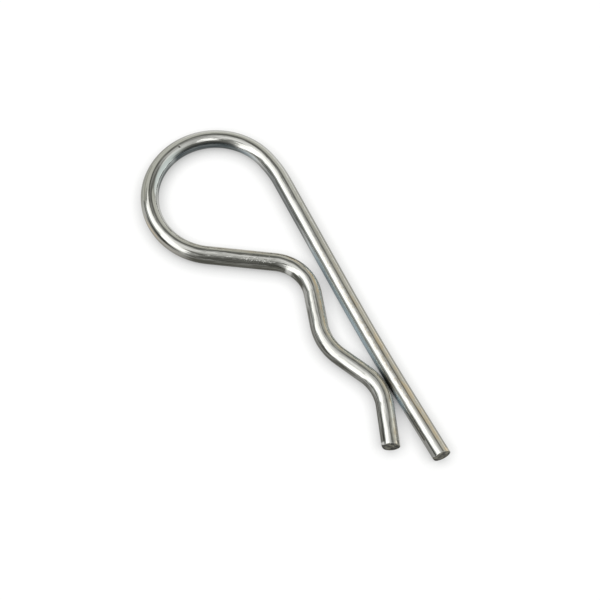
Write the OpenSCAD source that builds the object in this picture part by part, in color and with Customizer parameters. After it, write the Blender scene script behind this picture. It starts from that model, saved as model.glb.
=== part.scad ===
// Spring hitch clip of the R type: one length of round spring wire, bent in one plane.
// The straight leg passes through the cross-hole of a shaft. The bent leg snaps over the
// outside of the shaft, which then sits in the pocket between the neck and the nip.
// The clip lies flat on its side. X runs along the straight leg towards its tip, and the
// origin is at the middle of the footprint, on the surface that the clip lies on.

/* [Wire] */
// Diameter of the round spring wire
wire_d = 4; // [3.6:0.1:4.3]
// How much thinner the wire is in a bend, where it was stretched round the tool
bend_thinning = 0.02; // [0.01:0.01:0.1]

/* [Sheared ends] */
// How far out of square the shear left each end face
shear_skew = 4.5; // [0.5:0.5:8]
// Radius of the rollover that the blade pressed into the shorter side of each end
roll_r = 1; // [0.8:0.1:1.5]
// How far the rollover reaches from the corner, along the wire and across the end face
roll_reach = 0.5; // [0.2:0.05:0.7]

/* [Straight leg] */
// True straight at the tip, the stretch that enters the cross-hole first
tip_run = 15; // [12:0.5:16]
// Stretch that has taken a faint bow from the spring load
bow_run = 28.4; // [24:0.2:32]
// Angle of the faint bow
bow_angle = 2.5; // [1:0.5:3]
// Straight run from the bow to the loop
back_run = 31; // [27:0.5:35]

/* [Loop] */
// Radius of the easy bend that leads into the loop, on the centreline
ease_r = 25; // [20:1:32]
// Angle of the easy bend that leads into the loop
ease_angle = 12; // [8:1:18]
// Short straight between the easy bend and the loop
ease_run = 1; // [0.5:0.5:3]
// Radius of the loop that gives the clip its spring and its finger hold, on the centreline
loop_r = 14.5; // [14:0.5:16]

/* [Bent leg] */
// Straight arm from the loop to the neck
arm_run = 15; // [13.5:0.5:15.5]
// Radius of the neck, the bend that keeps the shaft out of the loop, on the centreline
neck_r = 9.5; // [8.5:0.5:10.5]
// Angle of the neck
neck_angle = 73.5; // [71:0.5:74.5]
// Straight shank from the neck down to the shaft seat
shank_run = 7.7; // [6.5:0.1:8.5]
// Radius of the shaft seat, on the centreline
seat_r = 12; // [10:0.5:14]
// Angle of the shaft seat
seat_angle = 42; // [40:0.5:44]
// Straight ramp from the shaft seat to the nip
ramp_run = 7; // [6:0.1:8.5]
// Radius of the nip, where the bent leg closes on the straight leg, on the centreline
nip_r = 11; // [9:0.5:13]
// Angle of the nip
nip_angle = 45; // [42:0.5:48]
// Straight flared end that leads the clip over the shaft
flare_run = 9.7; // [7:0.1:12]
// Air left between the two legs at the nip
nip_gap = 0.05; // [0.02:0.01:0.5]

/* [Hidden] */
$fn = 96;
wire_r = wire_d / 2;
bend_wire_r = (wire_d - bend_thinning) / 2;
// How far each straight laps over the bends at its ends, so that they join in one solid
lap = 0.02;

// A place on the wire is [x, y, heading]. A row of the bend table is [feed, angle, radius]:
// feed that much straight wire, then bend it by the angle, to the left where it is positive.
function fed(place, feed) =
    [place.x + feed * cos(place[2]), place.y + feed * sin(place[2]), place[2]];
// The centre of a bend that starts at a place
function bend_centre(place, angle, radius) =
    [place.x, place.y] + sign(angle) * radius * [-sin(place[2]), cos(place[2])];
// The place at the end of one row
function after(place, row) =
    let (start = fed(place, row[0]),
         centre = bend_centre(start, row[1], row[2]),
         heading = start[2] + row[1],
         out = centre + sign(row[1]) * row[2] * [sin(heading), -cos(heading)])
    [out.x, out.y, heading];
// The place where row number i starts
function row_start(place, rows, i) =
    i == 0 ? place : after(row_start(place, rows, i - 1), rows[i - 1]);

// The straight leg, bent from its tip towards the loop
bow_r = bow_run * 180 / (PI * bow_angle);
leg_rows = [
    [tip_run, -bow_angle, bow_r],
    [back_run, ease_angle, ease_r],
];
// The bent leg, from the loop to the nip
bent_rows = [
    [arm_run, -neck_angle, neck_r],
    [shank_run, seat_angle, seat_r],
    [ramp_run, -nip_angle, nip_r],
];

// The leg's tip is at the zero of the bending, and the leg heads back along -X
leg_tip = [0, 0, 180];
loop_start = fed(row_start(leg_tip, leg_rows, len(leg_rows)), ease_run);
loop_centre = bend_centre(loop_start, 1, loop_r);

// The loop is closed until the nip all but touches the straight leg. The bent leg is rigid
// and turns about the loop's centre, so the nip's centre keeps its distance from it.
nip = len(bent_rows) - 1;
nip_start = fed(row_start([0, 0, 0], bent_rows, nip), ramp_run);
nip_reach = bend_centre(nip_start, -1, nip_r) - [0, loop_r];
nip_height = -(wire_d + nip_gap + nip_r) - loop_centre.y;
loop_end_heading = 360 + asin(nip_height / norm(nip_reach)) - atan2(nip_reach.y, nip_reach.x);
loop_angle = loop_end_heading - loop_start[2];

// The whole clip's bend table, and where its last straight starts
bend_table = concat(leg_rows, [[ease_run, loop_angle, loop_r]], bent_rows);
flare_start = row_start(leg_tip, bend_table, len(bend_table));
flare_tip = fed(flare_start, flare_run);

// The footprint: the far side of the loop, the longer side of whichever sheared end reaches
// further, and the crown of the easy bend
skew_rise = wire_r * tan(shear_skew);
ease_start = fed(row_start(leg_tip, leg_rows, 1), back_run);
x_low = loop_centre.x - loop_r - bend_wire_r;
x_high = max(skew_rise, fed(flare_tip, skew_rise).x - wire_r * sin(flare_tip[2]));
y_low = loop_centre.y - loop_r - bend_wire_r;
y_high = bend_centre(ease_start, 1, ease_r).y + ease_r + bend_wire_r;
middle = [(x_low + x_high) / 2, (y_low + y_high) / 2];

// The rollover's axis lies this deep under both the wall and the end face, so that its
// round reaches both of them roll_reach from their corner
roll_depth = (roll_reach + sqrt(2 * roll_r * roll_r - roll_reach * roll_reach)) / 2;

// Puts its children at a place on the wire, with X along the wire
module at(place) {
    translate([place.x, place.y, 0])
        rotate([0, 0, place[2]])
            children();
}

// A straight length of wire along X, lapped over the bends at both ends
module straight(length) {
    translate([-lap, 0, 0])
        rotate([0, 90, 0])
            cylinder(r = wire_r, h = length + 2 * lap);
}

// The last straight of either leg, along X: it laps over the bend behind it, and the shear
// took what is past its end face
module end_straight(length) {
    difference() {
        straight(length + wire_d);
        translate([length, 0, 0])
            sheared_off();
    }
}

// What the shear took: all that is past a face out of square, longer on the left, and the
// rollover at the right, round an axis square to the plane of the bends
module sheared_off() {
    rotate([0, 0, -shear_skew])
        translate([0, -wire_d, -wire_d])
            cube(2 * wire_d);
    corner = [-skew_rise, -wire_r];
    translate([corner.x - roll_depth, corner.y + roll_depth, -wire_d])
        difference() {
            translate([0, -wire_d, 0])
                cube([wire_d, wire_d, 2 * wire_d]);
            translate([0, 0, -lap])
                cylinder(r = roll_r, h = 2 * (wire_d + lap));
        }
}

// A bend that starts along X, to the left where the angle is positive
module bend(angle, radius) {
    side = sign(angle);
    translate([0, side * radius, 0])
        rotate([0, 0, side > 0 ? -90 : 90 + angle])
            rotate_extrude(angle = abs(angle))
                translate([radius, 0])
                    circle(r = bend_wire_r);
}

// The whole wire, laid row by row from the straight leg's tip to the flared end
module spring_wire() {
    color("silver")
        translate([-middle.x, -middle.y, wire_r]) {
            at(fed(leg_tip, tip_run))
                rotate([0, 0, 180])
                    end_straight(tip_run);
            for (i = [0 : len(bend_table) - 1]) {
                row = bend_table[i];
                start = row_start(leg_tip, bend_table, i);
                if (i > 0)
                    at(start)
                        straight(row[0]);
                at(fed(start, row[0]))
                    bend(row[1], row[2]);
            }
            at(flare_start)
                end_straight(flare_run);
        }
}

spring_wire();
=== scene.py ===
# %% [markdown]
# # A spring hitch clip
# The real clip is one length of 4 mm spring wire. It is bent cold round pins, sheared off
# at both ends, and then plated with zinc. This lesson builds its looks round the packed
# part, which is already in place, in metres. The first cell only loads that part.

# %% The imported part
import math

import bpy
import numpy as np
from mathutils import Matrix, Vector, noise


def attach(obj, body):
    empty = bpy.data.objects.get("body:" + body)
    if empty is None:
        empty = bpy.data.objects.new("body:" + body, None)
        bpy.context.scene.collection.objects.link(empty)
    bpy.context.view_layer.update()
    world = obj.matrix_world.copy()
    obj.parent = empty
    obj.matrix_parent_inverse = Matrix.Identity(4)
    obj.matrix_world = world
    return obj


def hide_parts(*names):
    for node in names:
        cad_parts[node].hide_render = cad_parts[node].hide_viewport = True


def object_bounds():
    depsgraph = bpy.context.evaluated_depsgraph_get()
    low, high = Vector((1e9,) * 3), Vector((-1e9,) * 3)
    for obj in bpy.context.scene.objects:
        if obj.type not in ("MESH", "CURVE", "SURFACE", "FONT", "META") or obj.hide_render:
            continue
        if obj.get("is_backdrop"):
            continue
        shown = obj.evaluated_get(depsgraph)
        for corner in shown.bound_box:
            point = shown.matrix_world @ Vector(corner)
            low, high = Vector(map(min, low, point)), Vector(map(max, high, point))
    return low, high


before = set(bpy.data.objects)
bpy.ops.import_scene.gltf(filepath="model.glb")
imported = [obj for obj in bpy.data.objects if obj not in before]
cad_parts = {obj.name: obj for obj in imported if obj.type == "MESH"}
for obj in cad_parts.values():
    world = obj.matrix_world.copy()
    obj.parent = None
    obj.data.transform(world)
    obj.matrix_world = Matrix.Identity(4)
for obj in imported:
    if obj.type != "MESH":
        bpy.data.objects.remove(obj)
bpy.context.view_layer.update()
MM = 0.001

# %% [markdown]
# ## The bends
# A wire former is set up from a bend table: feed some wire, bend it round a pin, feed
# again. A curve object could be dragged to the right shape, but the table says the same
# in thirteen lines, and it is the one that the part's own source uses. So the new wire
# lies exactly where the solid one lies. A run is its length in mm and how sharply it
# turns, to the left where that is positive.

# %% The bend table
WIRE_R = 2.0
BEND_WIRE_R = 1.99


def straight(length):
    """A run that doesn't turn."""
    return length, 0.0


def bend(angle, radius):
    """A run that turns by an angle in degrees, round a pin of this radius to its axis."""
    return math.radians(abs(angle)) * radius, math.copysign(1 / radius, angle)


BOW_LENGTH = 28.4
BOW_ANGLE = 2.5
EASY_R = 25
LOOP_R = 14.5
RUNS = [
    straight(15),  # the leg's tip
    bend(-BOW_ANGLE, BOW_LENGTH / math.radians(BOW_ANGLE)),  # the faint bow of the leg
    straight(31),
    bend(12, EASY_R),  # the easy bend into the loop
    straight(1),
    bend(225.102, LOOP_R),  # the loop
    straight(15),  # the arm
    bend(-73.5, 9.5),  # the neck
    straight(7.7),  # the shank
    bend(42, 12),  # the seat of the shaft
    straight(7),  # the ramp
    bend(-45, 11),  # the nip
    straight(9.7),  # the flared end
]
EASY_RUN = 3
LOOP_RUN = 5
run_ends = np.cumsum([0] + [length for length, turn in RUNS])
WIRE_LENGTH = run_ends[-1]
print("developed length:", round(WIRE_LENGTH, 2), "mm in", len(RUNS), "runs")

# %% [markdown]
# ## A point on the wire
# The leg's tip is the zero of the bending, and the wire heads back from it. Each run
# carries on from the end of the one before it, so the whole path is smooth. The last
# step moves it all by one amount, so that the loop's far side touches the same two
# sides of the part's box.

# %% The wire's centreline
SHEAR_SKEW = 4.5


def along_run(x, y, heading, turn, feed):
    """The x, y and heading after feeding some mm of a run that turns."""
    if turn == 0:
        return x + feed * math.cos(heading), y + feed * math.sin(heading), heading
    end = heading + turn * feed
    x += (math.sin(end) - math.sin(heading)) / turn
    y -= (math.cos(end) - math.cos(heading)) / turn
    return x, y, end


def run_starts():
    """The x, y and heading where each run starts."""
    starts = [(0.0, 0.0, math.pi)]
    for length, turn in RUNS:
        x, y, heading = starts[-1]
        starts.append(along_run(x, y, heading, turn, length))
    return starts


STARTS = run_starts()


def middle_of_part():
    """The middle of the clip's footprint, in the coordinates of the bending."""
    skew_rise = WIRE_R * math.tan(math.radians(SHEAR_SKEW))
    reach = LOOP_R + BEND_WIRE_R
    x, y, heading = STARTS[LOOP_RUN]
    loop_x = x - LOOP_R * math.sin(heading)
    loop_y = y + LOOP_R * math.cos(heading)
    x, y, heading = STARTS[EASY_RUN]
    crown = y + EASY_R * math.cos(heading) + EASY_R + BEND_WIRE_R
    return (loop_x - reach + skew_rise) / 2, (loop_y - reach + crown) / 2


MIDDLE = middle_of_part()


def place_on_wire(s):
    """The x, y and heading of the centreline, s mm from the leg's tip."""
    i = min(int(np.searchsorted(run_ends, s, side="right")) - 1, len(RUNS) - 1)
    x, y, heading = along_run(*STARTS[i], RUNS[i][1], s - run_ends[i])
    return x - MIDDLE[0], y - MIDDLE[1], heading


print("the tip is at", [round(v, 2) for v in place_on_wire(0)[:2]], "mm")

# %% [markdown]
# ## Stations
# A wire this small shows its ends and its marks from close by, so it is swept as rings of
# points, one by one, and isn't left to a curve's bevel. The rings stand about a third of a
# millimetre apart along the wire. They close up towards the two sheared ends, and again
# round the one nick, so that it is a real dent and not only a dark spot.

# %% Where the rings stand
RING_GAP = 0.3
SIDES = 96
EDGE_R = 0.06
END_RINGS = [EDGE_R, 0.1, 0.15, 0.22, 0.31, 0.43, 0.58, 0.76, 0.98, 1.24]
END_REACH = 1.5

NICK_AT = 102.5
NICK_REACH = 0.9
NICK_RINGS = 31

inner = np.linspace(END_REACH, WIRE_LENGTH - END_REACH, int(WIRE_LENGTH / RING_GAP))
inner = inner[abs(inner - NICK_AT) > NICK_REACH]
close = np.linspace(NICK_AT - NICK_REACH, NICK_AT + NICK_REACH, NICK_RINGS)
far_end = WIRE_LENGTH - np.array(END_RINGS)
stations = np.sort(np.concatenate([END_RINGS, inner, close, far_end]))
angles = np.arange(SIDES) * 2 * math.pi / SIDES
print(len(stations), "rings of", SIDES, "points")

# %% [markdown]
# ## How round the wire is
# Drawn wire is round to a few hundredths of a millimetre. It is a little thinner in a
# bend, where it was stretched, and it is very slightly uneven all along. That is far too
# small to see as shape, but a bright surface shows it at once in the lines that it
# reflects. The nick is a short dent that something hard left on top of the loop.

# %% The wire's radius, point by point
UNEVEN = 0.005
RIPPLE = 0.22
RIPPLE_ROUND = 1.3
SHARP_TURN = 0.01
BEND_FADE = 0.5
NICK_ANGLE = math.radians(13)
NICK_DEPTH = 0.09
NICK_WIDTH = 0.16
NICK_LENGTH = 0.3


def how_bent(s):
    """1 in a bend and 0 in a straight or in the faint bow, with soft changes."""
    total = np.zeros_like(s)
    for i, (length, turn) in enumerate(RUNS):
        if abs(turn) > SHARP_TURN:
            inside = np.minimum(s - run_ends[i], run_ends[i + 1] - s)
            total = np.maximum(total, np.clip(inside / BEND_FADE + 0.5, 0, 1))
    return total


def nick(s, angle):
    """The dent: narrow along the wire and about twice as long round it."""
    along = (s - NICK_AT) / NICK_WIDTH
    round_it = (angle - NICK_ANGLE) * WIRE_R / NICK_LENGTH
    return NICK_DEPTH * np.exp(-(along**2) - round_it**2)


def radius_field():
    """The radius at each ring and each angle, in mm."""
    s = stations[:, None]
    around = angles[None, :]
    radius = WIRE_R - (WIRE_R - BEND_WIRE_R) * how_bent(s) - nick(s, around)
    for i, s_here in enumerate(stations):
        for j, angle in enumerate(angles):
            across = math.cos(angle) * RIPPLE_ROUND
            beside = math.sin(angle) * RIPPLE_ROUND
            ripple = noise.noise(Vector((s_here * RIPPLE, across, beside)))
            radius[i, j] -= UNEVEN * (1.2 + 0.5 * ripple)
    return radius


radius = radius_field()
print("radius from", round(radius.min(), 3), "to", round(radius.max(), 3), "mm")

# %% [markdown]
# ## The sheared ends
# A shear doesn't cut square. The blade first presses the near side of the wire down into
# a small rollover, then cuts cleanly for a while, and at last the rest tears off as a
# rough grey fracture. So the face is out of square, is rounded on its shorter side, and
# is smooth there and grainy towards the longer side.

# %% The shape of an end face
ROLL_R = 1.0
ROLL_REACH = 0.5
FACE_SINK = 0.05
ROLL_DEPTH = (ROLL_REACH + math.sqrt(2 * ROLL_R**2 - ROLL_REACH**2)) / 2
CLEAN_TO = -0.9
TORN_WITHIN = 1.2
TORN_ROUGH = 0.045
SCORE_DEPTH = 0.012


def face_height(y):
    """How far out the end face stands at a distance y to the left of the axis."""
    height = y * math.tan(math.radians(SHEAR_SKEW))
    from_corner = np.clip(y + WIRE_R, 0, ROLL_REACH)
    arc = np.sqrt(ROLL_R**2 - (ROLL_DEPTH - from_corner) ** 2)
    return height - (ROLL_DEPTH - arc)


def torn(y, z, seed):
    """The fracture's own roughness and the blade's scores, in mm."""
    share = min(max((y - CLEAN_TO) / TORN_WITHIN, 0), 1)
    grain = noise.fractal(Vector((y * 1.6, z * 1.6, seed)), 1.0, 2.0, 4)
    score = abs(noise.noise(Vector((y * 0.6, z * 5, seed))))
    return share * TORN_ROUGH * grain - SCORE_DEPTH * score


print("the rollover is", ROLL_REACH, "mm each way, and the face leans", SHEAR_SKEW, "deg")

# %% [markdown]
# ## The swept wire
# Every ring is laid in the plane square to the wire. Near an end the rings lean over by
# degrees until the last of them follows the sheared face. Each point also keeps where it
# was on the straight wire before bending, in mm: along it, and up and left of its axis.
# The drawing marks of the finish follow that, so they run round every bend as real ones
# do. It keeps the direction of the wire too, for the same reason.

# %% The rings along the wire
points = []
on_wire = []
along = []


def put(s, up, left, x_out=0.0):
    """Adds a point of the wire and returns its number. x_out shifts it along the wire."""
    x, y, heading = place_on_wire(s)
    across = Vector((-math.sin(heading), math.cos(heading), 0))
    forward = Vector((math.cos(heading), math.sin(heading), 0))
    spot = Vector((x, y, WIRE_R)) + across * left + forward * x_out
    points.append(((spot + Vector((0, 0, up))) * MM)[:])
    on_wire.append((s, up, left))
    along.append(forward[:])
    return len(points) - 1


def lean(s, left):
    """How far along the wire a ring's point moves, to follow the face near it."""
    if s < END_REACH:
        return -face_height(-left) * (1 - s / END_REACH)
    if s > WIRE_LENGTH - END_REACH:
        return face_height(left) * (1 - (WIRE_LENGTH - s) / END_REACH)
    return 0.0


rings = []
for i, s in enumerate(stations):
    ring = []
    for j, angle in enumerate(angles):
        up = radius[i, j] * math.cos(angle)
        left = radius[i, j] * math.sin(angle)
        ring.append(put(s, up, left, lean(s, left)))
    rings.append(ring)
print(len(points), "points in the rings")

# %% [markdown]
# ## Closing the ends
# A flat disc would close an end, but it would show a razor edge and a mirror-flat face.
# So each end gets three narrow rings round its edge, which is a little blunt, and then
# smaller and smaller rings towards one middle point, which carry the torn surface.

# %% The two end faces
CAP_RINGS = 22
EDGE_TURNS = (22.5, 45, 67.5)
MEAN_UNEVEN = 0.006


def cap_profile():
    """Each ring's radius, how far it is sunk at the edge, and its share of roughness."""
    profile = []
    for turn in EDGE_TURNS:
        r = WIRE_R - MEAN_UNEVEN - EDGE_R * (1 - math.cos(math.radians(turn)))
        profile.append((r, EDGE_R * (1 - math.sin(math.radians(turn))), 0.0))
    for k in range(CAP_RINGS):
        profile.append(((WIRE_R - EDGE_R) * (1 - k / CAP_RINGS), 0.0, min(k / 2, 1)))
    return profile


def cap(end_s, way, seed):
    """The rings and the middle point of one end. Way is -1 at the tip, 1 at the flare."""
    cap_rings = []
    for r, sink, rough in cap_profile():
        ring = []
        for angle in angles:
            up = r * math.cos(angle)
            left = r * math.sin(angle)
            high = face_height(way * left) - sink
            high += rough * (torn(way * left, up, seed) - FACE_SINK)
            ring.append(put(end_s, up, left, way * high))
        cap_rings.append(ring)
    middle = put(end_s, 0, 0, way * (torn(0, 0, seed) - FACE_SINK))
    return cap_rings, middle


tip_cap, tip_middle = cap(0.0, -1, 3.0)
flare_cap, flare_middle = cap(WIRE_LENGTH, 1, 8.0)
print(len(tip_cap), "rings close each end")

# %% [markdown]
# ## One closed skin
# Neighbouring rings are joined by quads and the middle points by small triangles, so the
# skin is closed like the real wire. What each point keeps goes into mesh attributes,
# which a shader can read by their names.

# %% The mesh
def bridge(one, other):
    """The faces between two rings, facing outward when other comes later on the wire."""
    n = len(one)
    return [(one[j], one[(j + 1) % n], other[(j + 1) % n], other[j]) for j in range(n)]


order = tip_cap[::-1] + rings + flare_cap
faces = []
for one, other in zip(order, order[1:]):
    faces += bridge(one, other)
tip_ring = tip_cap[-1]
flare_ring = flare_cap[-1]
faces += [(tip_ring[(j + 1) % SIDES], tip_ring[j], tip_middle) for j in range(SIDES)]
faces += [(flare_ring[j], flare_ring[(j + 1) % SIDES], flare_middle) for j in range(SIDES)]

mesh = bpy.data.meshes.new("spring_wire_plated")
mesh.from_pydata(points, [], faces)
mesh.shade_smooth()
for name, values in (("on_wire", on_wire), ("along", along)):
    attribute = mesh.attributes.new(name, "FLOAT_VECTOR", "POINT")
    attribute.data.foreach_set("vector", np.array(values, np.float32).ravel())
TIP_FACES = (CAP_RINGS - 1) * SIDES
FLARE_FACES = (CAP_RINGS + 1) * SIDES


def on_end_face(polygon):
    """The faces of the tip's end come first in the mesh, and those of the flare last."""
    return polygon.index < TIP_FACES or polygon.index >= len(faces) - FLARE_FACES


print(len(points), "points,", len(faces), "faces")

# %% [markdown]
# ## A flat map of the skin
# When the part is exported, its finish is baked into pictures. Blender could unwrap the
# skin by itself, but on a long thin wire it makes hundreds of small islands. Cut open
# along its underside and laid out flat, a wire is simply one long strip. The strip is
# cut in four and stacked, with the two end faces beside it as discs. A face that
# straddles the cut is kept whole, on the far side of its strip.

# %% The flat map
STRIPS = 4
SHEET = 57.0
MARGIN = 0.4
GAP = 0.7
DISC_ROOM = 2.2
DISC_STEP = 5
strip_length = WIRE_LENGTH / STRIPS
strip_height = 2 * math.pi * WIRE_R
flat = mesh.uv_layers.new(name="OFBake")


def disc(point, row):
    """A place on an end face's disc, in mm on the sheet."""
    s, up, left = on_wire[point]
    return strip_length + GAP + DISC_ROOM + left, GAP + DISC_ROOM + row * DISC_STEP + up


spots = np.zeros((len(flat.data), 2))
for polygon in mesh.polygons:
    spots_on_wire = [on_wire[v] for v in polygon.vertices]
    middle_s = sum(s for s, up, left in spots_on_wire) / len(spots_on_wire)
    strip = min(int(middle_s / strip_length), STRIPS - 1)
    rounds = [math.atan2(left, -up) % (2 * math.pi) for s, up, left in spots_on_wire]
    wraps = max(rounds) - min(rounds) > math.pi
    for corner, v, turn in zip(polygon.loop_indices, polygon.vertices, rounds):
        if on_end_face(polygon):
            spots[corner] = disc(v, 0 if middle_s < 1 else 1)
            continue
        if wraps and turn < math.pi:
            turn += 2 * math.pi
        across = GAP + strip * (strip_height + GAP) + turn * WIRE_R
        spots[corner] = (MARGIN + on_wire[v][0] - strip * strip_length, across)
flat.data.foreach_set("uv", (spots / SHEET).ravel())
filled = (spots / SHEET).max(0)
print("the sheet is", SHEET, "mm across, filled to", [round(v, 2) for v in filled])

wire = bpy.data.objects.new("spring_wire_plated", mesh)
bpy.context.scene.collection.objects.link(wire)

# %% [markdown]
# ## Shader sums
# A finish is mostly sums on patterns. Adding each Math node by hand hides the sum, so one
# small class wraps a node's output and turns ordinary signs into nodes. Numbers go
# through Math nodes, and colours and vectors through Mix and Vector Math.

# %% A node output that can be added and multiplied
class Signal:
    """The output of a node, or only its tree, from which the first nodes start."""

    def __init__(self, tree, out=None):
        self.tree = tree
        self.out = out

    def node(self, kind, settings=None, inputs=None, output=0):
        """Adds any node: first its settings, then its sockets' values or links."""
        made = self.tree.nodes.new(kind)
        for name, value in (settings or {}).items():
            setattr(made, name, value)
        for socket, value in (inputs or {}).items():
            if isinstance(value, Signal):
                self.tree.links.new(value.out, made.inputs[socket])
            else:
                made.inputs[socket].default_value = value
        return Signal(self.tree, made.outputs[output] if made.outputs else None)

    def maths(self, operation, *terms):
        """A Math node."""
        return self.node("ShaderNodeMath", {"operation": operation}, dict(enumerate(terms)))

    def vector(self, operation, inputs):
        """A Vector Math node."""
        return self.node("ShaderNodeVectorMath", {"operation": operation}, inputs)

    def attribute(self, name):
        """What the points of the mesh keep under this name, as a vector."""
        return self.node("ShaderNodeAttribute", {"attribute_name": name}, output="Vector")

    def __add__(self, other):
        return self.maths("ADD", self, other)

    def __sub__(self, other):
        return self.maths("SUBTRACT", self, other)

    def __rsub__(self, other):
        return self.maths("SUBTRACT", other, self)

    def __mul__(self, other):
        return self.maths("MULTIPLY", self, other)

    def __pow__(self, other):
        return self.maths("POWER", self, other)

    __radd__ = __add__
    __rmul__ = __mul__

    def ramp(self, low, high):
        """0 up to low, 1 from high, and a smooth step between them."""
        settings = {"interpolation_type": "SMOOTHSTEP"}
        inputs = {"Value": self, "From Min": low, "From Max": high}
        return self.node("ShaderNodeMapRange", settings, inputs)

    def parts(self):
        """The three numbers of a vector."""
        made = self.node("ShaderNodeSeparateXYZ", {}, {0: self}).out.node
        return [Signal(self.tree, output) for output in made.outputs]

    def mix(self, low, high):
        """The colour low where this is 0 and high where it is 1, by a Mix node."""
        inputs = {0: self, 6: low, 7: high}
        return self.node("ShaderNodeMix", {"data_type": "RGBA"}, inputs, output=2)

    def pattern(self, size_along, size_round, detail=2.0, seed=0.0):
        """Noise in the wire's own space. Sizes are in mm along the wire and round it."""
        stretch = (1 / size_along, 1 / size_round, 1 / size_round)
        where = self.vector("MULTIPLY", {0: self, 1: stretch})
        inputs = {"Vector": where, "W": seed, "Scale": 1.0, "Detail": detail, "Roughness": 0.55}
        return self.node("ShaderNodeTexNoise", {"noise_dimensions": "4D"}, inputs)


print("Signal turns + - * and ** into nodes")

# %% [markdown]
# ## Empty materials
# A new material comes with a shader of its own, whose defaults would hide in the result.
# So every material here starts from an empty tree. The finishes of the wire then get one
# Principled shader each, because that is what a metal needs and what can be baked.

# %% Materials that start empty
def empty_material(name):
    """A material without nodes, and the Signal from which its nodes start."""
    material = bpy.data.materials.new(name)
    material.use_nodes = True
    material.node_tree.nodes.clear()
    return material, Signal(material.node_tree)


def metal_material(name):
    """An empty material with a fully metallic Principled shader."""
    material, start = empty_material(name)
    shader = start.node("ShaderNodeBsdfPrincipled", {}, {"Metallic": 1.0})
    start.node("ShaderNodeOutputMaterial", {}, {"Surface": shader})
    return material, start, shader.out.node


def feed(shader, socket, value):
    """Links a Signal to a socket of the shader."""
    value.tree.links.new(value.out, shader.inputs[socket])


zinc, start, shader = metal_material("bright_zinc")
print(zinc.name, "starts with", len(zinc.node_tree.nodes), "nodes")

# %% [markdown]
# ## Where a point is on the wire
# The real clip's marks run along the wire and round its bends. So the finish starts from
# what the mesh kept: where each point was on the straight wire, and which way the wire
# runs there. All are in mm. s grows from 0 at the leg's tip to 206.6 at the flared end:
# the loop is at 81 to 138, the arm ends at 153 and the neck at 165, and the nip is at 188
# to 197. Left, right and up grow from the axis to 2 at the skin. Left is the clip's inner
# side all the way round, and right is its outer side. A window picks out one stretch or
# one side with soft borders, like a masked brush.

# %% Places on the wire
def window(value, low, high, soft):
    """1 between low and high, 0 outside, with soft sides."""
    return value.ramp(low - soft, low + soft) * (1 - value.ramp(high - soft, high + soft))


place = start.attribute("on_wire")
wire_way = start.attribute("along")
s, up, left = place.parts()
right = 0 - left
bent_leg = s.ramp(118, 134) * (1 - s.ramp(WIRE_LENGTH - 1.0, WIRE_LENGTH - 0.4))
straight_leg = 1 - s.ramp(68, 80)
print(len(zinc.node_tree.nodes), "nodes say where a point is")

# %% [markdown]
# ## Marks of the drawing and the bending
# Electroplated zinc keeps whatever was on the wire under it. The drawing die leaves long
# fine lines, handling leaves shorter scuffs, and the former grips the wire beside the
# tight bends and grains it there. The plating itself is a little cloudy. Each of them is
# the same noise, only stretched by another amount along the wire and round it. The last
# number is the seed, which makes each of them a pattern of its own.

# %% Lines, scuffs and clouds
draw = place.pattern(40, 0.2, 3.0, 1.0)
lines = place.pattern(25, 0.4, 3.0, 6.0).ramp(0.5, 0.62)
scuff = place.pattern(3.0, 0.14, 2.0, 2.0)
streaky = place.pattern(6, 0.3, 3.0, 8.0).ramp(0.36, 0.62)
wavy = place.pattern(5, 0.8, 2.0, 10.0)
cloud = place.pattern(5, 2.5, 2.0, 3.0)
grain = place.pattern(0.45, 0.25, 2.0, 4.0)
speckle = place.pattern(0.8, 0.35, 3.0, 11.0).ramp(0.45, 0.6)
warm = place.pattern(3.5, 1.0, 3.0, 5.0).ramp(0.46, 0.64)
gripped = window(s, 87, 100, 3) * 0.6 + window(s, 134, 156, 2)
print(len(zinc.node_tree.nodes), "nodes with the marks")

# %% [markdown]
# ## Painted dark flanks of the bent leg
# A bright wire lives on the contrast between its mirror lines and its dark flanks, so the
# bent leg's flanks get painted reflections. Its whole outer flank is painted nearly black,
# a painted dark reflection. Its border wanders, and it leaves two brighter gaps on the
# neck. A dark spot, shaped like a lens, is painted near the end of the loop as a dark
# reflection too, with a brown stain beside it, and the inner flank is painted pale, a
# painted lighter reflection.

# %% The bent leg's painted dark and pale reflections
brown = window(right, 1.7, 2.2, 0.1) * window(s, 122, 133, 3)
border = 0.05 * window(s, 154, 163, 3) + 0.15 * window(s, 136, 152, 2)
border = border + 0.16 * window(s, 184, 195, 2) - 0.3 * s.ramp(195, 203)
gaps = (1 - 0.9 * window(s, 155.9, 157.7, 0.5)) * (1 - 0.45 * window(s, 163, 168.5, 1))
# the outer flank painted nearly black: a painted dark reflection
outer_shade = (right - border).ramp(1.23, 1.62) * bent_leg * (1 - 0.38 * brown) * gaps
# a painted dark reflection shaped like a lens
dark_lens_reflection = window(right, 1.25, 1.7, 0.12) * window(s, 121, 131, 3)
# the inner flank painted pale: a painted lighter reflection
inner_flank_sheen = left.ramp(1.2, 1.55) * bent_leg
# how deep the painted dark reflection on the flanks goes
shaded = 0.6 + 0.4 * streaky + 0.2 * window(s, 134, 152, 2) + 0.2 * window(s, 159, 163, 1)
print(len(zinc.node_tree.nodes), "nodes with the dull flanks")
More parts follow.
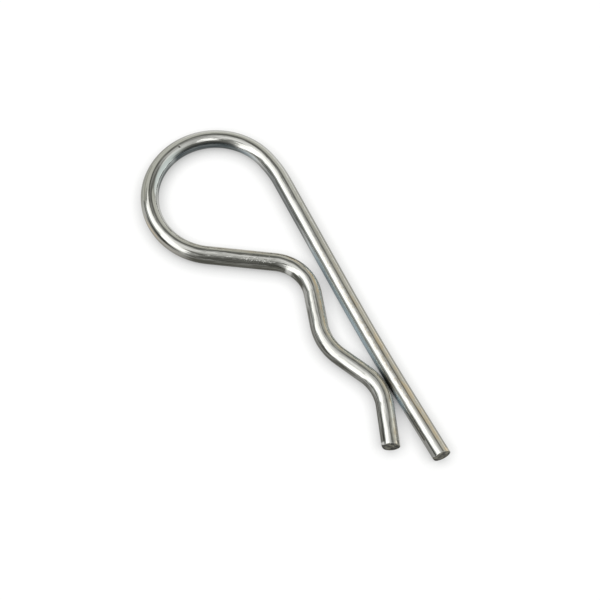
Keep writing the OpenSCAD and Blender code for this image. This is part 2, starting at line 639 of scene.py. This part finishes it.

# %% [markdown]
# ## Painted shade on the leg and the loop
# The rest of the wire gets painted shade: it is darker underneath, on the leg's inner
# flank beside its tip and on the inner side of the loop. One dark spot is painted where
# the nip touches the leg, as contact shade. The thin edges that turn away from the light,
# far and near, are painted darker too.

# %% Painted shade on the leg and the loop
# painted shade: darker towards the bottom of the wire
shade_underneath = 1 - up.ramp(-0.8, 0.9)
# painted shadow of the bent leg on the leg's flank near its tip
tip_flank_shade = 0.67 * (1 - s.ramp(9, 14)) * s.ramp(-0.5, 0.3)
# painted contact shade where the nip touches the leg
nip_contact_shade = window(s, 18, 23.5, 1.5)
leg_side_shade = left.ramp(1.1, 1.5) * (tip_flank_shade + nip_contact_shade)
loop_top = s.ramp(81.5, 86.5) * (1 - s.ramp(104.3, 106.3))
loop_start = 0.35 * window(s, 80, 89, 1.5)
# the inner side of the loop painted near black: a painted dark reflection
inside_loop_shade = (left - loop_start).ramp(1.2, 1.65) * (window(s, 59, 80, 6) * 0.75 + loop_top)
# painted shade on the inner edges
inner_edge_shade = 0.45 * left.ramp(1.8, 1.98) * window(s, 19, 80, 5)
inner_edge_shade = inner_edge_shade + 0.85 * left.ramp(1.5, 2.0) * window(s, 105, 117, 4)
# painted shade on the far edges and on the arm's upper side
far_edge_shade = right.ramp(1.15, 1.5) * straight_leg * s.ramp(0.4, 1.0)
far_edge_shade = far_edge_shade + right.ramp(0.75, 1.2) * window(s, 101, 120, 4)
far_edge_shade = far_edge_shade + 0.45 * left.ramp(-0.1, 0.5) * window(s, 132, 152, 3)
print(len(zinc.node_tree.nodes), "nodes with the dull places")

# %% [markdown]
# ## Painted bands, worn specks and stains
# The crown of the loop and the arm's outer flank are painted grey, as dark reflections,
# and the leg's upper side is worn in specks. The inner flanks of the leg, the flared end
# and the start of the loop are painted blue, and the inside of the loop a little cooler:
# painted reflections of a cool light. Elsewhere the zinc's passivate dried tan, in patches.

# %% Painted bands and reflections, worn specks and stains
# the crown of the loop painted grey: a painted dark reflection
crown = window(left - 0.03 * (s - 112), -0.25, 0.38, 0.12) * window(s, 107, 122, 5)
crown = crown + 0.8 * window(left + 0.02 * (s - 98), 0.05, 0.35, 0.08) * window(s, 96, 106, 3)
# the arm's outer flank painted grey: a painted dark reflection
arm_dark_band = window(left, -1.6, -0.5, 0.3) * window(s, 135, 153, 1.5)
# painted blue reflections on the inner flanks
blue_reflection = left.ramp(1.25, 1.7) * (window(s, 24, 56, 4) + window(s, 13, 17, 1.5))
blue_reflection = blue_reflection + 0.7 * left.ramp(1.65, 1.9) * window(s, 181, 203, 4)
blue_reflection = blue_reflection + 0.25 * left.ramp(1.4, 1.8) * window(s, 82, 87, 1.5)
# a painted cool reflection inside the loop
cool_reflection = left.ramp(0.5, 1.1) * window(s, 104, 114, 4)
worn = window(s, 12, 54, 6) * window(left, -0.1, 0.62, 0.15)
far_side = bent_leg * left.ramp(0.3, 0.9) + (1 - s.ramp(70, 90)) * right.ramp(0.3, 0.9)
tan_side = window(s, 136, 240, 8) * left.ramp(0.5, 1.2) + brown
tan_side = tan_side + (1 - s.ramp(30, 60)) * right.ramp(-0.2, 0.5)
tan_side = tan_side + 0.6 * window(s, 158, 168, 3) * left.ramp(0.4, 1.0)
print(len(zinc.node_tree.nodes), "nodes with the stains")

# %% [markdown]
# ## The nick and the scratches
# The nick is a real dent in the mesh, and the finish only puts the dirt in it. The short
# pale scratches run aslant over the arm, where a hook or another clip dragged over it.

# %% Dirt and scratches
SCRATCH_SLANT = math.radians(38)
DIRT_REACH = 0.14
in_nick = window(s, NICK_AT - DIRT_REACH, NICK_AT + DIRT_REACH, 0.12)
in_nick = in_nick * window(left, 0.25, 0.65, 0.15)
about_up = {"rotation_type": "Y_AXIS"}
slanted = start.node("ShaderNodeVectorRotate", about_up, {0: place, 3: SCRATCH_SLANT})
scratch = slanted.pattern(0.9, 0.13, 1.0, 9.0).ramp(0.58, 0.66)
scratch = scratch * window(s, 145.5, 152, 0.8) * window(left, -1.3, 0.3, 0.3)
print(len(zinc.node_tree.nodes), "nodes with the nick and the scratches")

# %% [markdown]
# ## The colour of the zinc
# The colour is laid like washes, one over the other: what is under the plating first,
# then its tints, the painted shade and painted reflections, and last the marks on top.
# Each wash is how much of it shows at a point, and its colour. A metal's colour only tints
# and dims what it mirrors, so the painted dark reflections are nearly black here and still
# look grey under a white studio.

# %% The paints
ZINC = (0.53, 0.53, 0.51, 1)
LINE_DARK = (0.30, 0.30, 0.27, 1)
GRIME = (0.38, 0.35, 0.29, 1)
# COOL tints a painted cool reflection inside the loop
COOL = (0.46, 0.49, 0.48, 1)
TAN = (0.60, 0.48, 0.31, 1)
# the four dark colours below paint shade and dark reflections
PAINTED_SHADE = (0.25, 0.25, 0.22, 1)
PAINTED_SHADE_GREY = (0.07, 0.07, 0.058, 1)
PAINTED_SHADE_TEAL = (0.055, 0.068, 0.073, 1)
PAINTED_DARK_BAND = (0.26, 0.26, 0.24, 1)
# BLUE paints blue reflections; PALE paints a pale reflection and the scratches
BLUE = (0.53, 0.64, 0.70, 1)
PALE = (0.72, 0.72, 0.70, 1)
DIRT = (0.02, 0.02, 0.015, 1)
print("the zinc mirrors", round(100 * ZINC[1]), "per cent of the light")

# %% [markdown]
# ## The washes
# A layered finish could be a group of shaders mixed by masks. One shader whose colour is
# mixed step by step gives the same look for a metal, and it stays easy to bake.

# %% The colour, wash by wash
washes = [
    (draw.ramp(0.54, 0.68) * 0.5, LINE_DARK),
    (lines * (0.2 + 0.6 * far_side), LINE_DARK),
    (speckle * far_side * 0.35, GRIME),
    # a painted cool reflection inside the loop
    (cool_reflection * 0.9, COOL),
    (tan_side * (0.15 + 0.5 * warm), TAN),
    (worn * speckle * 0.85, GRIME),
    # painted shade and painted dark reflections, then painted blue reflections
    (shade_underneath * (0.4 + 0.6 * cloud), PAINTED_SHADE),
    (far_edge_shade * 0.8, PAINTED_SHADE),
    ((outer_shade + leg_side_shade + 0.6 * dark_lens_reflection) * shaded, PAINTED_SHADE_GREY),
    (inside_loop_shade * (0.8 + 0.2 * streaky), PAINTED_SHADE_TEAL),
    (crown * 0.9 + arm_dark_band * (0.1 + 0.8 * streaky), PAINTED_DARK_BAND),
    (blue_reflection * (0.7 + 0.5 * cloud), BLUE),
    (inner_edge_shade, PAINTED_SHADE_TEAL),
    # a painted pale reflection on the inner flank, and the real pale scratches
    (inner_flank_sheen * 0.5 + scratch * 0.8, PALE),
    (in_nick, DIRT),
]
colour = ZINC
for amount, tint in washes:
    colour = amount.mix(colour, tint)
feed(shader, "Base Color", colour)
print(len(washes), "washes over the zinc")

# %% [markdown]
# ## How sharp and how smooth
# Bright zinc mirrors almost sharply. It is hazier where it was scuffed, gripped or
# scratched, and more so on the flanks that are painted blue or pale as reflections. The
# lines are too shallow to build as shape, so they are a bump of a few thousandths of a
# millimetre. A small lean of the surface along the wire is added to it, which makes the
# ends of the highlights ragged, as they are on drawn wire. The specular tint holds the
# glancing mirror down a little, because an oxide film keeps real zinc from turning white
# at its edges.

# %% Roughness and relief
rough = 0.02 + 0.05 * cloud + 0.04 * scuff + 0.1 * gripped * grain + 0.3 * scratch
rough = rough + 0.35 * (blue_reflection + inner_flank_sheen) + 0.05 * (outer_shade + inside_loop_shade + leg_side_shade)
feed(shader, "Roughness", rough)

LINE_HEIGHT = 0.004 * MM
GLANCING = (0.72, 0.72, 0.70, 1)
height = draw * 2.4 + scuff * 1.5 + grain * (0.3 + 1.2 * gripped)
height = height + wavy * (6.0 + 12.0 * s.ramp(128, 140))
relief = {"Strength": 1.0, "Distance": LINE_HEIGHT, "Height": height}
bump = start.node("ShaderNodeBump", {}, relief)
calm = left.ramp(1.2, 1.6) * s.ramp(102, 106)
lean_along = (place.pattern(2.2, 0.15, 2.0, 7.0) - 0.5) * (0.13 + 0.2 * gripped)
lean_along = lean_along * (1 - 0.8 * calm)
leaned = start.vector("SCALE", {0: wire_way, 3: lean_along})
normal = start.vector("ADD", {0: bump, 1: leaned})
feed(shader, "Normal", start.vector("NORMALIZE", {0: normal}))

shader.inputs["Specular Tint"].default_value = GLANCING
print(len(zinc.node_tree.nodes), "nodes in the whole finish")

# %% [markdown]
# ## Sheared steel
# The end faces were cut after plating or broke through it, so they are bare dark steel
# with a little oil and rust in the torn part. A few bright grains are left.

# %% The finish of the end faces
BARE = (0.18, 0.175, 0.135, 1)
BRIGHT_GRAIN = (0.42, 0.41, 0.38, 1)
steel, start, shader = metal_material("sheared_steel")
place = start.attribute("on_wire")
mottle = place.pattern(1.1, 0.9, 4.0, 1.0)
specks = place.pattern(0.3, 0.3, 2.0, 2.0).ramp(0.6, 0.72)
colour = specks.mix(mottle.ramp(0.42, 0.6).mix(DIRT, BARE), BRIGHT_GRAIN)
feed(shader, "Base Color", colour)
feed(shader, "Roughness", 0.35 + 0.3 * mottle)
print(len(steel.node_tree.nodes), "nodes for the sheared steel")

# %% [markdown]
# ## The wire takes its place
# The new wire stands for the part's one solid: it rides on the same body, carries both
# finishes, and the plain grey solid is taken away.

# %% The wire in the part
mesh.materials.append(zinc)
mesh.materials.append(steel)
for polygon in mesh.polygons:
    polygon.material_index = int(on_end_face(polygon))
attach(wire, "root")
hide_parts("spring_wire")
print("finishes:", [m.name for m in mesh.materials])

# %% [markdown]
# ## The camera
# Small hardware is mostly shown from above, so that its outline can be read, and from far
# off, so that it isn't distorted. The camera looks down at 64 degrees through a long
# lens. All the angles are in degrees, as one would read them off a tripod head.

# %% The camera
VIEW_HEADING = 151.083
ELEVATION = 64.314
DISTANCE = 745 * MM
TARGET = Vector((-0.517, 4.462, 0)) * MM
SENSOR = 36
FOCAL_LENGTH = 204.467


def toward(bearing, elevation):
    """A direction. Bearing 0 is straight ahead of the camera and 90 is to its right."""
    heading = math.radians(VIEW_HEADING - bearing)
    level = math.cos(math.radians(elevation))
    rise = math.sin(math.radians(elevation))
    return Vector((level * math.cos(heading), level * math.sin(heading), rise))


back = toward(180, ELEVATION)
lens = bpy.data.cameras.new("camera")
lens.sensor_width = SENSOR
lens.lens = FOCAL_LENGTH
lens.clip_start = 50 * MM
lens.clip_end = 20
camera = bpy.data.objects.new("camera", lens)
camera.location = TARGET + back * DISTANCE
camera.rotation_mode = "QUATERNION"
camera.rotation_quaternion = (-back).to_track_quat("-Z", "Y")
bpy.context.scene.collection.objects.link(camera)
bpy.context.scene.camera = camera
print("camera at", [round(v / MM, 1) for v in camera.location], "mm")

# %% [markdown]
# ## The studio
# A bright round wire is a mirror: it shows the room as thin lines along its length. So
# the room is made of a few large soft panels round the clip, with dark between them.
# Lamps would do for a dull object, but a wire would show them as dots. A panel is a
# curved sheet a metre away, between a lower and an upper edge.

# %% The sheet of a panel
PANEL_DISTANCE = 1.0
COLUMNS = 24
ROWS = 12


def height_at(bearing, edge):
    """The elevation of an edge at a bearing, straight between its points."""
    return np.interp(bearing, [point[0] for point in edge], [point[1] for point in edge])


def panel_sheet(name, lower, upper):
    """A curved sheet between two edges, which are lists of (bearing, elevation)."""
    first = lower[0][0]
    last = lower[-1][0]
    spots = []
    shares = []
    for i in range(COLUMNS + 1):
        bearing = first + (last - first) * i / COLUMNS
        low = height_at(bearing, lower)
        high = height_at(bearing, upper)
        for j in range(ROWS + 1):
            elevation = low + (high - low) * j / ROWS
            spots.append((toward(bearing, elevation) * PANEL_DISTANCE)[:])
            shares.append((i / COLUMNS, j / ROWS, 0))
    quads = []
    for i in range(COLUMNS):
        for j in range(ROWS):
            a = i * (ROWS + 1) + j
            quads.append((a, a + 1, a + ROWS + 2, a + ROWS + 1))
    sheet = bpy.data.meshes.new(name)
    sheet.from_pydata(spots, [], quads)
    across = sheet.attributes.new("across", "FLOAT_VECTOR", "POINT")
    across.data.foreach_set("vector", np.array(shares, np.float32).ravel())
    return sheet


print("a panel has", COLUMNS * ROWS, "faces")

# %% [markdown]
# ## A soft glow
# A hard-edged panel makes hard-edged lines on the wire, so its glow fades towards its
# four borders, each over its own share of the sheet. The panel adds its light to what is
# behind it, so two may overlap. The camera doesn't see it, and it throws no shadow.

# %% A panel that glows
BLACK = (0, 0, 0, 1)
RIM = -0.001


def panel_glow(name, strength, colour, soft):
    """A glow that fades over these shares of the sheet: left, right, bottom and top."""
    material, start = empty_material(name)
    u, v = start.attribute("across").parts()[:2]
    mask = u.ramp(RIM, soft[0]) * (1 - u).ramp(RIM, soft[1])
    mask = mask * v.ramp(RIM, soft[2]) * (1 - v).ramp(RIM, soft[3])
    light = {"Color": mask.mix(BLACK, (*colour, 1)), "Strength": strength}
    glow = start.node("ShaderNodeEmission", {}, light)
    clear = start.node("ShaderNodeBsdfTransparent")
    both = start.node("ShaderNodeAddShader", {}, {0: glow, 1: clear})
    start.node("ShaderNodeOutputMaterial", {}, {"Surface": both})
    return material


def panel(name, lower, upper, strength, colour, soft):
    """A glowing panel of the studio, which is no piece of the clip."""
    sheet = panel_sheet(name, lower, upper)
    sheet.materials.append(panel_glow(name, strength, colour, soft))
    thing = bpy.data.objects.new(name, sheet)
    bpy.context.scene.collection.objects.link(thing)
    thing.visible_camera = False
    thing.visible_shadow = False
    thing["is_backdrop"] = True
    print(name, "reaches from bearing", lower[0][0], "to", lower[-1][0])


print("a glow starts", -RIM, "of the sheet's width outside its rim")

# %% [markdown]
# ## The main lights
# The key panel stands high on the left and makes the long white highlight. A second one
# over the camera's shoulder lights the parts of the loop that turn away from the key.
# Each panel is given by its lower and upper edge, its strength, its colour and how softly
# it fades on the left, right, bottom and top.

# %% Key and shoulder panels
panel(
    "key",
    [(-147, -6), (-129, 5), (-97, 34), (-84, 29), (-74, 26), (-62, 35), (-51, 41), (-18, 70)],
    [(-147, 55), (-129, 65), (-97, 69), (-66, 72), (-35, 67), (-18, 71)],
    1.82, (1, 1, 0.99), (0.1, 0.35, 0.2, 0.23),
)
panel(
    "by_camera",
    [(143, 43), (196, 51)],
    [(143, 80), (196, 85)],
    1.8, (1, 1, 1), (0.44, 0.35, 0.1, 0.22),
)

# %% [markdown]
# ## The pale walls
# A wide dim wall far behind the clip and another on its right give the quiet greys on
# the far side of the wire. The far one is slightly warm and the right one slightly cool.

# %% Wall panels
panel(
    "far_wall",
    [(-68, 0), (62, -5)],
    [(-68, 36), (-52, 40), (-38, 78), (0, 38), (44, 61), (62, 50)],
    0.6, (1.0, 1.0, 0.92), (0.01, 0.09, 0.05, 0.3),
)
panel(
    "right_wall",
    [(57, -2), (144, 2)],
    [(57, 48), (75, 90), (144, 84)],
    0.95, (0.95, 1.0, 0.99), (0.03, 0.54, 0.05, 0.6),
)

# %% [markdown]
# ## The ceiling and the fills
# The ceiling glows faintly, with a ragged lower border that leaves dark gaps over the
# walls. Those gaps are the thin dark lines on the wire. Two dim fills keep the near
# flank from going black, and the spill softens the upper border of the key.

# %% Ceiling and fill panels
panel(
    "overhead",
    [(-180, 32), (-164, 64), (-13, 60), (24, 49), (41, 74), (65, 51), (143, 44), (180, 82)],
    [(-180, 90), (180, 90)],
    0.52, (1, 1, 1), (0.01, 0.01, 0.24, 0.0),
)
panel(
    "spill",
    [(-145, 49), (-58, 65), (1, 62)],
    [(-145, 90), (-58, 90), (1, 79)],
    0.58, (1, 1, 1), (0.3, 0.24, 0.1, 0.0),
)
panel(
    "left_low",
    [(-153, 20), (-104, 18), (-63, 5)],
    [(-153, 24), (-63, 57)],
    0.48, (0.95, 1, 1), (0.12, 0.12, 0.39, 0.3),
)
panel(
    "strip",
    [(-165, -10), (-132, -12)],
    [(-165, 80), (-132, 47)],
    0.4, (1, 1, 1), (0.66, 0.23, 0.08, 0.12),
)

# %% [markdown]
# ## The floor
# The clip lies on a wide round sheet that turns up into a low backdrop all round, so that
# a camera near the floor still sees white behind it. It could be one huge plane, but a
# disc with a rim takes no more faces and has no horizon.

# %% The sheet
FLOOR_REACH = 4.0
BACKDROP_HIGH = 0.45
BACKDROP_SIDES = 64
rims = []
for high in (0.0, BACKDROP_HIGH):
    for k in range(BACKDROP_SIDES):
        turn = 2 * math.pi * k / BACKDROP_SIDES
        rims.append((FLOOR_REACH * math.cos(turn), FLOOR_REACH * math.sin(turn), high))
foot = list(range(BACKDROP_SIDES))
top = list(range(BACKDROP_SIDES, 2 * BACKDROP_SIDES))
floor_mesh = bpy.data.meshes.new("floor")
floor_mesh.from_pydata(rims, [], [foot] + bridge(foot, top))
floor = bpy.data.objects.new("floor", floor_mesh)
bpy.context.scene.collection.objects.link(floor)
floor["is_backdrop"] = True
print("the sheet is", 2 * FLOOR_REACH, "m across")

# %% [markdown]
# ## The white of the sheet
# Lamps strong enough to whiten the sheet would burn out the clip. So the white is the
# sheet's own glow, which only the camera and mirrored rays see, and it throws no light on
# the clip. Under it is a matt grey that takes the clip's soft shadow. A little of the glow
# is taken away close to the clip, where a real sheet gets less light.

# %% The sheet's white
FLOOR_WHITE = 0.835
MATT_GREY = 0.22
SHADE_REACH = 3 * MM
SHADE_CURVE = 0.55
pale, start = empty_material("pale_floor")
seen = start.node("ShaderNodeLightPath", output="Is Camera Ray")
seen = seen + start.node("ShaderNodeLightPath", output="Is Glossy Ray")
seen = seen + start.node("ShaderNodeLightPath", output="Is Transmission Ray")
near = {"Distance": SHADE_REACH}
shade = start.node("ShaderNodeAmbientOcclusion", {"samples": 8}, near, output="AO")
white = (FLOOR_WHITE, FLOOR_WHITE, FLOOR_WHITE, 1)
grey = (MATT_GREY, MATT_GREY, MATT_GREY, 1)
lit = (seen.ramp(0, 1) * shade**SHADE_CURVE).mix(BLACK, white)
glow = start.node("ShaderNodeEmission", {}, {"Color": lit, "Strength": 1.0})
matt = start.node("ShaderNodeBsdfDiffuse", {}, {"Color": grey})
both = start.node("ShaderNodeAddShader", {}, {0: glow, 1: matt})
start.node("ShaderNodeOutputMaterial", {}, {"Surface": both})
floor_mesh.materials.append(pale)
print("the white fades within", SHADE_REACH / MM, "mm of the clip")

# %% [markdown]
# ## The dark between the panels
# A dim even room fills the gaps between the panels, with a faint olive cast like old
# walls. With nothing there the dark lines on the wire would be black and look drawn on.

# %% The room
ROOM = (0.207, 0.21, 0.193, 1)
world = bpy.data.worlds.new("room")
bpy.context.scene.world = world
world.use_nodes = True
world.node_tree.nodes["Background"].inputs["Color"].default_value = ROOM
bpy.context.scene.view_settings.view_transform = "Standard"
print("the room's level:", ROOM)

# %% [markdown]
# ## The wire's box
# The new wire must lie inside the part's own box, or it would stand off the floor or clip
# into whatever the part is fitted to. The cell below measures the box of what is shown.

# %% The sizes
low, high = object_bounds()
